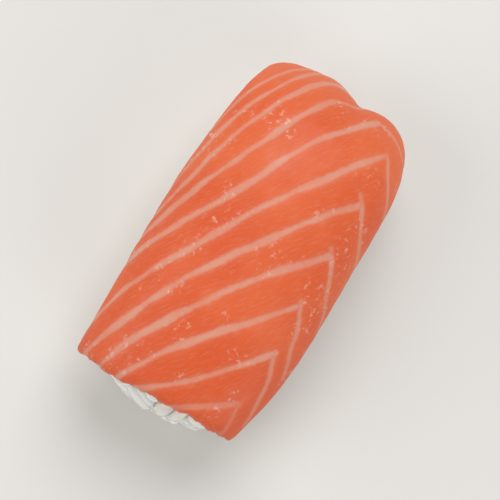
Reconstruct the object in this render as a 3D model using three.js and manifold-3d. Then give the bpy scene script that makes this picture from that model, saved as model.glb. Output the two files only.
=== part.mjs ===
// Salmon nigiri: a pressed bed of vinegared rice with one slice of raw salmon draped over it.
// Millimetres, +Z up. The origin is on the table, under the middle of the piece.
// +X runs along the piece, towards the end where the slice hangs down over the rice.
import * as THREE from "three";
import { mergeVertices } from "three/addons/utils/BufferGeometryUtils.js";
import Module from "manifold-3d";

const wasm = await Module();
wasm.setup();

// Rice bed
const RICE_TOP = 20; // crown of the bare rice, where the slice lies on it
const RICE_CUT_END = -27.4; // bare rice at the end that shows past the slice
const RICE_HUNG_END = 25.0; // bare rice at the end that the slice covers
const RICE_HALF_WIDTH = 11.5; // bare rice, to which the grains add about a millimetre
const RICE_CORNER = 3.4; // superellipse power of the bed's plan
const RICE_BULGE = 0.7; // how far the pressed sides swell
const RICE_TUCK = 1.1; // how far the foot of the bed turns in
const RICE_SHOULDER = 2.2; // extra fall of the rice at its own rim
const RICE_SHOULDER_START = 0.75; // share of the way out at which that fall begins
const RICE_TUCK_HEIGHT = 0.25; // share of the side's height over which the foot turns in
const RICE_STEPS_ROUND = 36;
const RICE_WALK_STEPS = 720; // for distances round the bed
const RICE_TOP_RINGS = [0.3, 0.55, 0.75, 0.88, 1]; // shares of the way out
const RICE_SIDE_RINGS = [0.85, 0.6, 0.35, 0.15, 0.06, 0]; // shares of the side's height

// Rice grains, cooked short grain
const GRAIN_LENGTH = 6.4;
const GRAIN_WIDTH = 2.9;
const GRAIN_SIDES = 5;
// Outline of a grain, from its thin end: share of its width off the axis, share of its length along it
const GRAIN_OUTLINE = [[0, -0.5], [0.42, -0.29], [0.5, 0.06], [0.36, 0.36], [0, 0.5]];
const GRAIN_SMALLEST = 0.88; // scale of the smallest grain
const GRAIN_LARGEST = 1.12;
const GRAIN_ROW_GAP = 2.8; // from one row of grains to the next, up the side
const GRAIN_PITCH = 5.6; // from one grain to the next, along a row
// Rows laid on the shoulder at the end that shows: places up the skin, as for riceSkinPoint
const GRAIN_SHOULDER_UP = [1.05, 1.12];
const GRAIN_SHOULDER_DEPTH = 6; // how far in from that end they lie
const GRAIN_SINK = 0.25; // grain axis below the face of the bare rice, at the deepest
const GRAIN_TURN = 0.4 * Math.PI; // a grain lies within this angle of its row, either way
const GRAIN_LEAN = 0.25; // and leans in or out by up to this slope
const GRAIN_ROW_START = 0.4; // of a row's gap, under the lowest row
const GRAIN_ROW_OFFSET = 0.1; // of a pitch, from the start of a row to its first grain
// Ways of clearing the slice, tried in turn: moved down by, scaled by, turn scaled by
const GRAIN_TRIES = [[0, 1, 1], [0, 1, 0.3], [0.7, 1, 0.3], [1.4, 1, 1], [0.7, 0.8, 0.3], [1.4, 0.8, 0.3]];
const GRAIN_SEED = 7;

// Salmon slice
const SLICE_GAP = 0.3; // between rice and slice
const SLICE_CROWN_X = 2;
const SLICE_THICKNESS = 5.2;
const SLICE_SIDE_THIN = 0.42; // share of its thickness that it loses along both long sides
const SLICE_HUNG_THIN = 0.36; // at the hanging end
const SLICE_CUT_THIN = 0.12; // at the straight end
const SLICE_THIN_POWER = 3; // it thins by this power of the way out
const SLICE_CUT_LENGTH = 29.8; // plan of the underside, crown to straight end
const SLICE_HUNG_LENGTH = 24.8; // plan of the underside, crown to hanging end
const SLICE_HALF_WIDTH = 12.95; // plan of the underside
const SLICE_CUT_TAPER = 0.75; // narrowing of the -Y side towards the straight end
const SLICE_CUT_SLANT = 0.65; // the straight end is longer by this at -Y, shorter at +Y
const SLICE_CUT_HOLLOW = 1.8; // and its middle is drawn in by this
const SLICE_NOTCH = 1.1; // depth of the notch in the straight end's edge
const SLICE_NOTCH_PLACE = -0.34; // share of the half width
const SLICE_NOTCH_WIDTH = 0.2;
const SLICE_UNEVEN = 0.18; // gentle swells of the top
const SLICE_SWELLS_LONG = { rate: 4.1, start: 1.3 }; // radians from the middle to an end
const SLICE_SWELLS_WIDE = { rate: 3.3, start: 0.4 };
const SLICE_RAGGED = 0.28; // unevenness of the cut edges
const SLICE_WAVES_END = { rate: 8, start: 1 };
const SLICE_WAVES_SIDE = { rate: 6, start: 2 };
const SLICE_RAGGED_POWER = 8; // it fades inwards by this power of the way out
const SLICE_DENT = 2.2; // depth of the dent in the hanging end's edge
const SLICE_DENT_PLACE = -0.18; // share of the half width
const SLICE_DENT_WIDTH = 0.27;
const SLICE_DENT_POWER = 6; // dent and notch grow by this power of the way to an end
const SLICE_SLANT = 2.2; // the hanging end is cut askew: longer by this at +Y, shorter at -Y
const SLICE_SLANT_POWER = 4; // slant and hollow grow by this power of the way to an end
const SLICE_CROWDING = 1.15; // radians of a sine over which the steps crowd towards the edges
const SLICE_RIM_BULGE = 0.45;
const SLICE_RIM_INSIDE = 0.9; // share of the way out of the point from which the rim bulges away
const SLICE_STEPS_LONG = 30;
const SLICE_STEPS_WIDE = 16;

// How the slice falls away from its crown: a superellipse quarter in each direction
const FALL_HUNG = { reach: 25.2, drop: 16, power: 3.0 };
const FALL_CUT = { reach: 34, drop: 10, power: 2.6 };
const FALL_SIDE = { reach: 13.4, drop: 8.5, power: 2.3 };
const FALL_LIMIT = 0.985; // the falls stop short of the vertical

// A crease runs down the hanging end and draws it in
const CREASE_DEPTH = 1.1;
const CREASE_Y = -2.8;
const CREASE_WIDTH = 3.0; // from its bottom to where it is a third as deep
const CREASE_POWER = 4; // it deepens by this power of the distance from the crown

// Rounding of the slice's corners: 0 is square and 1 is an ellipse
const CORNER_HUNG_LEFT = 0.78; // +X +Y
const CORNER_HUNG_RIGHT = 0.42; // +X -Y
const CORNER_CUT_LEFT = 0.05; // -X +Y
const CORNER_CUT_RIGHT = 0.5; // -X -Y

const SALMON_COLOUR = 0xe26a44;
const SALMON_ROUGHNESS = 0.35;
const RICE_COLOUR = 0xf1ede2;
const RICE_ROUGHNESS = 0.45;

const WELD = 1e-4; // points closer than this are one point
const RANDOM = { times: 1664525, plus: 1013904223, range: 2 ** 32 };

// A repeatable random number from 0 to 1
function seededRandom(seed) {
  let state = seed >>> 0;
  return () => {
    state = (state * RANDOM.times + RANDOM.plus) >>> 0;
    return state / RANDOM.range;
  };
}

// Depth and slope of a superellipse fall at a distance from the crown
function fallAt(distance, { reach, drop, power }) {
  const share = Math.min(Math.abs(distance) / reach, FALL_LIMIT);
  const left = 1 - share ** power;
  const depth = drop * (1 - left ** (1 / power));
  const slope = (drop / reach) * share ** (power - 1) * left ** (1 / power - 1);
  return { depth, slope: Math.sign(distance) * slope };
}

// How far the crease draws the slice in at a plan point, and how fast that changes along and across
function creaseAt(along, y) {
  if (along <= 0) return { depth: 0, slopeX: 0, slopeY: 0 };
  const off = (y - CREASE_Y) / CREASE_WIDTH;
  const depth = CREASE_DEPTH * (along / FALL_HUNG.reach) ** CREASE_POWER * Math.exp(-off * off);
  return { depth, slopeX: (depth * CREASE_POWER) / along, slopeY: (-2 * off * depth) / CREASE_WIDTH };
}

// Height, normal and slopes of the slice's underside over a point of the plan
function undersideAt(x, y) {
  const along = x - SLICE_CROWN_X;
  const crease = creaseAt(along, y);
  const lengthwise = fallAt(along + crease.depth, along > 0 ? FALL_HUNG : FALL_CUT);
  const crosswise = fallAt(y, FALL_SIDE);
  const slopeX = lengthwise.slope * (1 + crease.slopeX);
  const slopeY = crosswise.slope + lengthwise.slope * crease.slopeY;
  const normal = new THREE.Vector3(slopeX, slopeY, 1).normalize();
  const height = RICE_TOP + SLICE_GAP - lengthwise.depth - crosswise.depth;
  return { height, normal, slopeX, slopeY };
}

// Spreads even steps so that they crowd towards the edges, where the slice bends most
function crowd(step) {
  return Math.sin(step * SLICE_CROWDING) / Math.sin(SLICE_CROWDING);
}

// A sine wave of a given rate and start
function wave({ rate, start }, place) {
  return Math.sin(rate * place + start);
}

// Plan point of the underside for a place on the slice, each of p and q from -1 to 1
function slicePlan(p, q) {
  const cutCorner = q > 0 ? CORNER_CUT_LEFT : CORNER_CUT_RIGHT;
  const hungCorner = q > 0 ? CORNER_HUNG_LEFT : CORNER_HUNG_RIGHT;
  const corner = p < 0 ? cutCorner : hungCorner;
  const along = p * Math.sqrt(1 - (corner * q * q) / 2);
  const across = q * Math.sqrt(1 - (corner * p * p) / 2);
  const length = along > 0 ? SLICE_HUNG_LENGTH : SLICE_CUT_LENGTH;
  const taper = q < 0 && p < 0 ? SLICE_CUT_TAPER * p * p : 0;
  const y = (SLICE_HALF_WIDTH - taper) * crowd(across);
  const reach = length * crowd(along);
  const x = SLICE_CROWN_X + reach - creaseAt(reach, y).depth;

  // Unevenness of the cut edges, measured along the slice, so that it shrinks in plan where it is steep
  const { slopeX, slopeY } = undersideAt(x, y);
  const fromDent = (q - SLICE_DENT_PLACE) / SLICE_DENT_WIDTH;
  const fromNotch = (q - SLICE_NOTCH_PLACE) / SLICE_NOTCH_WIDTH;
  const dent = -SLICE_DENT * Math.exp(-fromDent * fromDent);
  const notch = SLICE_NOTCH * Math.exp(-fromNotch * fromNotch);
  const drawnIn = (p > 0 ? dent : notch) * p ** SLICE_DENT_POWER;
  const slant = (p > 0 ? SLICE_SLANT : SLICE_CUT_SLANT) * p ** SLICE_SLANT_POWER * q;
  const hollow = p < 0 ? SLICE_CUT_HOLLOW * p ** SLICE_SLANT_POWER * (1 - q * q) : 0;
  const endWave = SLICE_RAGGED * wave(SLICE_WAVES_END, q) * p ** SLICE_RAGGED_POWER;
  const sideWave = SLICE_RAGGED * wave(SLICE_WAVES_SIDE, p * Math.sign(q)) * q ** SLICE_RAGGED_POWER;
  return {
    x: x + (endWave + slant + hollow + drawnIn) / Math.hypot(1, slopeX),
    y: y + sideWave / Math.hypot(1, slopeY),
  };
}

// The slice is thickest along its middle and thins towards its edges
function sliceThickness(p, q) {
  const lengthwise = 1 - (p > 0 ? SLICE_HUNG_THIN : SLICE_CUT_THIN) * Math.abs(p) ** SLICE_THIN_POWER;
  const crosswise = 1 - SLICE_SIDE_THIN * Math.abs(q) ** SLICE_THIN_POWER;
  const uneven = SLICE_UNEVEN * wave(SLICE_SWELLS_LONG, p) * wave(SLICE_SWELLS_WIDE, q);
  return SLICE_THICKNESS * lengthwise * crosswise + uneven;
}

// A point of the slice: lift 0 is the underside and 1 the top
function slicePoint(p, q, lift) {
  const { x, y } = slicePlan(p, q);
  const { height, normal } = undersideAt(x, y);
  return new THREE.Vector3(x, y, height).addScaledVector(normal, lift * sliceThickness(p, q));
}

// Closed surface of the draped slice: a top and an underside joined by a rounded rim
function sliceGeometry() {
  const points = [];
  const triangles = [];
  const columns = SLICE_STEPS_LONG + 1;
  const place = (i, j) => [(2 * i) / SLICE_STEPS_LONG - 1, (2 * j) / SLICE_STEPS_WIDE - 1];
  const quad = (a, b, c, d) => triangles.push(a, b, c, a, c, d);

  for (const lift of [0, 1])
    for (let j = 0; j <= SLICE_STEPS_WIDE; j++)
      for (let i = 0; i <= SLICE_STEPS_LONG; i++) points.push(slicePoint(...place(i, j), lift));

  const layer = columns * (SLICE_STEPS_WIDE + 1);
  const under = (i, j) => j * columns + i;
  const top = (i, j) => layer + under(i, j);
  for (let j = 0; j < SLICE_STEPS_WIDE; j++)
    for (let i = 0; i < SLICE_STEPS_LONG; i++) {
      quad(top(i, j), top(i + 1, j), top(i + 1, j + 1), top(i, j + 1));
      quad(under(i, j), under(i, j + 1), under(i + 1, j + 1), under(i + 1, j));
    }

  // The rim, walked anticlockwise seen from above
  const rim = [];
  for (let i = 0; i < SLICE_STEPS_LONG; i++) rim.push([i, 0]);
  for (let j = 0; j < SLICE_STEPS_WIDE; j++) rim.push([SLICE_STEPS_LONG, j]);
  for (let i = SLICE_STEPS_LONG; i > 0; i--) rim.push([i, SLICE_STEPS_WIDE]);
  for (let j = SLICE_STEPS_WIDE; j > 0; j--) rim.push([0, j]);
  const middle = points.length;
  for (const [i, j] of rim) {
    const [p, q] = place(i, j);
    const inside = slicePoint(p * SLICE_RIM_INSIDE, q * SLICE_RIM_INSIDE, 0.5);
    const edge = slicePoint(p, q, 0.5);
    points.push(edge.clone().addScaledVector(edge.clone().sub(inside).normalize(), SLICE_RIM_BULGE));
  }
  rim.forEach(([i, j], k) => {
    const [i2, j2] = rim[(k + 1) % rim.length];
    const m = middle + k;
    const m2 = middle + ((k + 1) % rim.length);
    quad(under(i, j), under(i2, j2), m2, m);
    quad(m, m2, top(i2, j2), top(i, j));
  });
  return new THREE.BufferGeometry().setFromPoints(points).setIndex(triangles);
}

// Plan of the bare rice at an angle round it, for a share of the way out from its middle
function ricePlan(angle, share) {
  const middle = (RICE_CUT_END + RICE_HUNG_END) / 2;
  const halfLength = (RICE_HUNG_END - RICE_CUT_END) / 2;
  const power = 2 / RICE_CORNER;
  const c = Math.cos(angle);
  const s = Math.sin(angle);
  return {
    x: middle + share * halfLength * Math.sign(c) * Math.abs(c) ** power,
    y: share * RICE_HALF_WIDTH * Math.sign(s) * Math.abs(s) ** power,
  };
}

// Top of the bare rice: the slice's underside less the gap, rounded off at the bed's own rim
function riceTopPoint(angle, share) {
  const { x, y } = ricePlan(angle, share);
  const rim = RICE_SHOULDER * Math.max(0, (share - RICE_SHOULDER_START) / (1 - RICE_SHOULDER_START)) ** 2;
  return new THREE.Vector3(x, y, undersideAt(x, y).height - SLICE_GAP - rim);
}

// Side of the bare rice: up is 0 at the foot and 1 at the rim
function riceSidePoint(angle, up) {
  const rim = riceTopPoint(angle, 1);
  const outward = new THREE.Vector3(rim.x - ricePlan(angle, 0).x, rim.y, 0).normalize();
  const tuck = RICE_TUCK * (1 - Math.min(1, up / RICE_TUCK_HEIGHT)) ** 2;
  const swell = RICE_BULGE * Math.sin(Math.PI * up) - tuck;
  return new THREE.Vector3(rim.x, rim.y, rim.z * up).addScaledVector(outward, swell);
}

// Skin of the bare rice: up is 0 at the foot, 1 at the rim and 2 at the crown
function riceSkinPoint(angle, up) {
  return up <= 1 ? riceSidePoint(angle, up) : riceTopPoint(angle, 2 - up);
}

// Closed surface of the bare rice: rings over the top, down the side and in under the foot
function riceCoreGeometry() {
  const around = RICE_STEPS_ROUND;
  const angleOf = (k) => (2 * Math.PI * (k + 0.5)) / around;
  const points = [riceTopPoint(0, 0)];
  for (const share of RICE_TOP_RINGS)
    for (let k = 0; k < around; k++) points.push(riceTopPoint(angleOf(k), share));
  for (const up of RICE_SIDE_RINGS)
    for (let k = 0; k < around; k++) points.push(riceSidePoint(angleOf(k), up));
  points.push(new THREE.Vector3(ricePlan(0, 0).x, 0, 0));

  const triangles = [];
  const rings = RICE_TOP_RINGS.length + RICE_SIDE_RINGS.length;
  const at = (ring, k) => 1 + ring * around + (k % around);
  for (let k = 0; k < around; k++) {
    triangles.push(0, at(0, k), at(0, k + 1));
    for (let ring = 0; ring < rings - 1; ring++) {
      triangles.push(at(ring, k), at(ring + 1, k), at(ring + 1, k + 1));
      triangles.push(at(ring, k), at(ring + 1, k + 1), at(ring, k + 1));
    }
    triangles.push(points.length - 1, at(rings - 1, k + 1), at(rings - 1, k));
  }
  return new THREE.BufferGeometry().setFromPoints(points).setIndex(triangles);
}

// One cooked grain along its own X: a blunt, few-sided spindle
function grainGeometry(length, width) {
  const profile = GRAIN_OUTLINE.map(([off, along]) => new THREE.Vector2(off * width, along * length));
  return new THREE.LatheGeometry(profile, GRAIN_SIDES).rotateZ(-Math.PI / 2);
}

// A closed geometry as a solid that can be joined
function solidOf(geometry) {
  const bare = geometry.clone();
  bare.deleteAttribute("normal");
  bare.deleteAttribute("uv");
  const merged = mergeVertices(bare, WELD);
  return new wasm.Manifold(
    new wasm.Mesh({
      numProp: 3,
      vertProperties: merged.attributes.position.array,
      triVerts: new Uint32Array(merged.index.array),
    }),
  );
}

// A joined solid as a geometry
function geometryOf(solid) {
  const { vertProperties, triVerts } = solid.getMesh();
  return new THREE.BufferGeometry()
    .setAttribute("position", new THREE.BufferAttribute(vertProperties, 3))
    .setIndex(new THREE.BufferAttribute(triVerts, 1));
}

// Angles evenly spaced by distance round the bed, so that grains keep their pitch at its corners
function anglesRound(up, pitch, offset) {
  const angleOf = (k) => (2 * Math.PI * k) / RICE_WALK_STEPS;
  const walk = [0];
  for (let k = 1; k <= RICE_WALK_STEPS; k++) {
    const before = riceSkinPoint(angleOf(k - 1), up);
    walk.push(walk[k - 1] + before.distanceTo(riceSkinPoint(angleOf(k), up)));
  }
  const around = walk[RICE_WALK_STEPS];
  const count = Math.round(around / pitch);
  return Array.from({ length: count }, (_, n) => {
    const distance = (around * (n + offset)) / count;
    return angleOf(walk.findIndex((d) => d >= distance));
  });
}

// A grain on the skin of the bed, pressed flat on the table, or null where it would cross the slice
function grainAt(position, axis, outward, size) {
  const side = outward.clone().cross(axis).normalize();
  const basis = new THREE.Matrix4().makeBasis(axis, side, axis.clone().cross(side)).setPosition(position);
  const grain = grainGeometry(GRAIN_LENGTH * size, GRAIN_WIDTH * size).applyMatrix4(basis);
  const corners = grain.attributes.position;
  const corner = new THREE.Vector3();
  for (let k = 0; k < corners.count; k++) {
    corner.fromBufferAttribute(corners, k);
    if (corner.z > undersideAt(corner.x, corner.y).height - SLICE_GAP) return null;
    corners.setZ(k, Math.max(0, corner.z));
  }
  return grain;
}

// Lays a grain on the skin at random, then moves it down, shortens it or turns it to clear the slice
function layGrain(angle, up, random) {
  const step = 0.02;
  const round = riceSkinPoint(angle + step, up).sub(riceSkinPoint(angle - step, up)).normalize();
  const rise = riceSkinPoint(angle, up + step).sub(riceSkinPoint(angle, up - step)).normalize();
  const outward = round.clone().cross(rise).normalize();
  const turn = (2 * random() - 1) * GRAIN_TURN;
  const lean = (2 * random() - 1) * GRAIN_LEAN;
  const size = GRAIN_SMALLEST + (GRAIN_LARGEST - GRAIN_SMALLEST) * random();
  const position = riceSkinPoint(angle, up).addScaledVector(outward, (2 * random() - 1) * GRAIN_SINK);
  for (const [down, scale, turned] of GRAIN_TRIES) {
    const axis = round.clone().multiplyScalar(Math.cos(turn * turned));
    axis.addScaledVector(rise, Math.sin(turn * turned)).addScaledVector(outward, lean * turned).normalize();
    const grain = grainAt(position.clone().addScaledVector(rise, -down), axis, outward, size * scale);
    if (grain) return grain;
  }
  return null;
}

// The bare rice with the grains that show fused on in rows round its side
function riceGeometry() {
  const random = seededRandom(GRAIN_SEED);
  const solids = [solidOf(riceCoreGeometry())];
  const rows = Math.round(riceTopPoint(Math.PI / 2, 1).z / GRAIN_ROW_GAP);
  for (let row = 0; row <= rows; row++) {
    const up = (row + GRAIN_ROW_START) / (rows + GRAIN_ROW_START);
    for (const angle of anglesRound(up, GRAIN_PITCH, (row % 2) / 2 + GRAIN_ROW_OFFSET)) {
      const grain = layGrain(angle, up, random);
      if (grain) solids.push(solidOf(grain));
    }
  }
  for (const up of GRAIN_SHOULDER_UP)
    for (const angle of anglesRound(up, GRAIN_PITCH, 0)) {
      if (riceSkinPoint(angle, up).x > RICE_CUT_END + GRAIN_SHOULDER_DEPTH) continue;
      const grain = layGrain(angle, up, random);
      if (grain) solids.push(solidOf(grain));
    }
  // Keeping only the largest shell fills any hollow sealed between grains and drops loose scraps
  const shells = wasm.Manifold.union(solids).decompose();
  return geometryOf(shells.reduce((best, shell) => (shell.volume() > best.volume() ? shell : best)));
}

function piece(name, geometry, colour, roughness) {
  geometry.computeVertexNormals();
  const material = new THREE.MeshStandardMaterial({ color: colour, roughness, metalness: 0 });
  const mesh = new THREE.Mesh(geometry, material);
  mesh.name = name;
  return mesh;
}

const nigiri = new THREE.Group();
nigiri.name = "salmon_nigiri";
nigiri.add(piece("rice_bed", riceGeometry(), RICE_COLOUR, RICE_ROUGHNESS));
nigiri.add(piece("salmon_slice", sliceGeometry(), SALMON_COLOUR, SALMON_ROUGHNESS));

export default nigiri;
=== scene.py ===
"""Salmon nigiri: a pressed bed of cooked rice grains with one draped slice of raw salmon.

Shapes are worked out in millimetres in the frame of the part, and meshes are made in metres.
+X runs along the piece to the rounded end where the slice hangs lowest, +Z is up.
"""

import math

import bpy
import numpy as np
from bpy.props import FloatProperty, FloatVectorProperty, IntProperty, PointerProperty
from mathutils import Matrix, Vector, kdtree


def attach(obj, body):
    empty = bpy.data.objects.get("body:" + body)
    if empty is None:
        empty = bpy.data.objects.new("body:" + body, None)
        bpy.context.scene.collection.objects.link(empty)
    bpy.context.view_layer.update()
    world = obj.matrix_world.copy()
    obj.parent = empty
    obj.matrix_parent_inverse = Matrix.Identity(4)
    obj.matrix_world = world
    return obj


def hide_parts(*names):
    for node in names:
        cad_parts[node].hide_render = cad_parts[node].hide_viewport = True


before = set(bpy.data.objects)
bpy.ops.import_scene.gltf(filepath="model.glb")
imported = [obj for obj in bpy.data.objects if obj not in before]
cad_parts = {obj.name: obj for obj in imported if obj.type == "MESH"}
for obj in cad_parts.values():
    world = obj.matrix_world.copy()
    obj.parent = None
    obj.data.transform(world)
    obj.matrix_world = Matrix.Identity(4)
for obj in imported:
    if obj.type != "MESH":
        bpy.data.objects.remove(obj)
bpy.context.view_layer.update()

bl_info = {
    "name": "Salmon Nigiri",
    "version": (1, 0, 0),
    "blender": (4, 5, 0),
    "location": "View3D > Sidebar > Nigiri",
    "description": "Makes a salmon nigiri from rice grains and a draped slice of salmon",
    "category": "Object",
}

MM = 0.001
SMALL = 1e-6  # near enough to zero, and keeps divisions off it
TINY = 1e-9

# Rice bed, in millimetres
RICE_TOP = 20  # crown of the bare rice
RICE_CUT_END = -27.4
RICE_HUNG_END = 25.0
RICE_MIDDLE = (RICE_CUT_END + RICE_HUNG_END) / 2
RICE_HALF_LENGTH = (RICE_HUNG_END - RICE_CUT_END) / 2
RICE_HALF_WIDTH = 11.5
RICE_CORNER = 3.4  # superellipse power of the bed's plan
RICE_BULGE = 0.7  # how far the pressed sides swell
RICE_TUCK = 1.1  # how far the foot of the bed turns in
RICE_TUCK_HEIGHT = 0.25  # share of the side's height over which it turns in
RICE_SHOULDER = 2.2  # extra fall of the rice at its own rim
RICE_SHOULDER_START = 0.75  # share of the way out at which that fall begins
RICE_WALK_STEPS = 1441  # for distances round the bed
RICE_SLOPE_STEP = 0.01  # for directions along the skin

# Core behind the grains, drawn from a sphere: shares of the way up the sphere, or millimetres
CORE_STEPS_ROUND = 96
CORE_STEPS_UP = 56
CORE_FOOT = 0.25  # where the foot of the bed's side begins
CORE_RIM = 0.62  # where the rim of the bed lies
CORE_UP_RANGE = (0.02, 1.98)  # ways up the skin: 1 is the rim and 2 the crown
CORE_UNDER = 0.9  # share of the bed's plan that the underside fills
CORE_LIFT = 0.5  # off the table
CORE_INSET = 1.5  # behind the skin
CORE_TOP_INSET = 0.25  # under the slice
CORE_TOP_START = 1.25  # way up the skin at which that begins
CORE_BUMP = 0.25  # of its side
CORE_BUMP_END = 1.2  # way up the skin at which the bumps end
CORE_BUMP_WAVES = ((2.1, 0.0, 1.3), (0.8, 2.3, -1.9))  # radians a millimetre along x, y and z
# painted shade: the core takes mostly the darker clear-grain colour, so the gaps between the grains look
# shaded
CORE_PAINTED_SHADE_TONE = 0.8

# Grains strewn in layers: depth, share of the spacing, and the highest row (1 is the rim of the bed)
GRAIN_LAYERS = [(0.1, 1.0, 1.14), (-1.4, 1.1, 1.1)]
GRAIN_CLIMB = 17  # about the millimetres up the skin from the table to the rim
GRAIN_FOOT = 0.05  # share of that under the lowest row
GRAIN_STREW_ALONG = 0.35  # unevenness along a row, in shares of the gap
GRAIN_STREW_UP = 0.06
GRAIN_STREW_DEPTH = 0.3

# How grains lie: most along the skin of the bed, some pointing out of it
GRAIN_SIZES = (0.84, 1.12)
GRAIN_UPRIGHT_SHARE = 0.3
GRAIN_UPRIGHT_LEAN = (0.6, 1.5)  # slopes out of the skin
GRAIN_LYING_LEAN = 0.3
GRAIN_PROUD = 0.35  # highest place of a lying grain's axis over the skin
GRAIN_DEEPEST = 2.6  # how far below that it may sink

# How grains settle: each is a row of beads that push the beads of other grains away
GRAIN_BEADS = (-0.6, 0.0, 0.6)  # shares of the half length
GRAIN_BEAD_SIZES = (0.78, 0.98, 0.78)  # shares of the half width
GRAIN_ROUNDS = 71
GRAIN_TIGHTNESS = 0.88  # share of two beads' reach that they keep apart
GRAIN_PUSH = 0.22  # share of a push and of a twist that a round follows
GRAIN_TWIST = 0.25
GRAIN_KEPT_OFF = 0.5  # share of a bead's way into the slice or table that a round takes back
GRAIN_OFF_SLICE = 0.9  # shares of a bead's size
GRAIN_OFF_TABLE = 0.75
GRAIN_MOST_ROUND = 0.08  # most that a round moves a grain: round the bed, up the skin, and turned
GRAIN_MOST_UP = 0.05
GRAIN_MOST_TURN = 0.12
GRAIN_UP_RANGE = (0.03, 1.2)

# Form of a grain, in shares of its size
GRAIN_SIDES = 8
GRAIN_RINGS = 7
GRAIN_BLUNTNESS = 3.2
GRAIN_TAPER = 0.10
NICK_PLACE = 0.72
NICK_WIDTH = 0.25
NICK_DEPTH = 0.45
GRAIN_WIDTHS = (0.94, 1.06)
GRAIN_DEPTHS = (0.84, 0.96)
GRAIN_BOW = 0.35  # most that a grain is bowed and swayed, in millimetres
GRAIN_SWAY = 0.15
GRAIN_SWAY_RATE = 5
GRAIN_SWAY_STARTS = (0, 6)
GRAIN_CLEARANCE = 0.12  # under the slice
GRAIN_MOST_PRESSED = 1.1  # a grain that would have to be pressed by more is left out

# Grains under the bed, in millimetres or shares of the spacing
BOTTOM_INSET = 1.5
BOTTOM_ROW_GAP = 1.05
BOTTOM_PITCH = 1.3  # along a row, and every second row is shifted by half of it
BOTTOM_HEIGHT = 0.9
BOTTOM_STREW_ALONG = 0.5
BOTTOM_STREW_ACROSS = 0.4
BOTTOM_STREW_UP = (-0.1, 0.3)
BOTTOM_LEAN = 0.1
BOTTOM_SIZES = (0.88, 1.1)
ROUNDING = 0.1  # lets a row reach its own end

# Slice, in millimetres
SLICE_GAP = 0.3  # between rice and slice
SLICE_CROWN_X = 2
SLICE_SIDE_THIN = 0.42  # share of its thickness that it loses along both long sides
SLICE_HUNG_THIN = 0.36  # at the hanging end
SLICE_CUT_THIN = 0.12  # at the straight end
SLICE_THIN_POWER = 3
SLICE_CUT_LENGTH = 29.8  # plan of the underside, crown to straight end
SLICE_HUNG_LENGTH = 24.8  # crown to hanging end
SLICE_HALF_WIDTH = 12.95
SLICE_CUT_TAPER = 0.75  # narrowing of the -Y side towards the straight end
SLICE_CUT_SLANT = 0.65  # the straight end is longer by this at -Y, shorter at +Y
SLICE_CUT_HOLLOW = 1.8  # and its middle is drawn in by this
SLICE_NOTCH = 1.1  # depth of the notch in the straight end's edge
SLICE_NOTCH_PLACE = -0.34  # share of the half width
SLICE_NOTCH_WIDTH = 0.2
SLICE_DENT = 2.2  # depth of the dent in the hanging end's edge
SLICE_DENT_PLACE = -0.18
SLICE_DENT_WIDTH = 0.27
SLICE_DENT_POWER = 6  # dent and notch grow by this power of the way to an end
SLICE_SLANT = 2.2  # the hanging end is longer by this at +Y, shorter at -Y
SLICE_SLANT_POWER = 4  # slant and hollow grow by this power
SLICE_UNEVEN = 0.18  # gentle swells of the top
SLICE_SWELLS_LONG = (4.1, 1.3)  # rate and start, in radians from the middle to an end
SLICE_SWELLS_WIDE = (3.3, 0.4)
SLICE_RAGGED = 0.28  # unevenness of the cut edges
SLICE_WAVES_END = (8, 1)
SLICE_WAVES_SIDE = (6, 2)
SLICE_RAGGED_POWER = 8
SLICE_CROWDING = 1.15  # radians of a sine over which the steps crowd towards the edges
SLICE_STEPS_LONG = 190
SLICE_STEPS_WIDE = 110
SLICE_FLAT_STEPS = 1201  # for lengths along and across the slice

# How the slice falls away from its crown: reach, drop and power of a superellipse quarter
FALL_HUNG = (25.2, 16, 3.0)
FALL_CUT = (34, 10, 2.6)
FALL_SIDE = (13.4, 8.5, 2.3)
FALL_LIMIT = 0.985  # the falls stop short of the vertical

# Rounding of the slice's corners, left and right seen from the cut end: 0 is square, 1 an ellipse
CORNER_HUNG_LEFT = 0.78
CORNER_HUNG_RIGHT = 0.42
CORNER_CUT_LEFT = 0.05
CORNER_CUT_RIGHT = 0.5

# A crease runs down the hanging end and draws it in
CREASE_DEPTH = 1.1
CREASE_Y = -2.8
CREASE_WIDTH = 3.0
CREASE_POWER = 4

# Rim of the slice, in millimetres
RIM_CUTS = 5
RIM_BULGE = 0.5
RIM_ROUND = 0.15  # share of the thickness that top and underside each lose at the very edge
RIM_REACH = 0.4  # how fast the rounding fades inwards
RIM_INSIDE = 0.93  # share of the way out of the point from which the rim bulges away
RIM_ACROSS = 2  # weight of the way across in the place round the rim
RIM_WAVES = [(0.12, 0.83), (0.06, 1.9), (0.05, 3.7)]  # heights and rates
RIM_TWIST = 2  # shift of the first wave from the underside to the top
RIM_START = 1  # of the second wave
RIM_DRIFT = (3, 0.4)  # size and rate of the third wave's shift

# Low relief of the top, in millimetres
GROOVE_REACH = 1.3  # of the dip along a fat line, in shares of its half width
FULLNESS = 0.05  # of the flesh between the lines, and how far from them it is reached
FULLNESS_REACH = 3.5
SWELL = 0.035
SWELL_WAVES = ((0.9, 0.6, 0), (-0.4, 0.7, 1))  # rates along and across, and start

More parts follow.
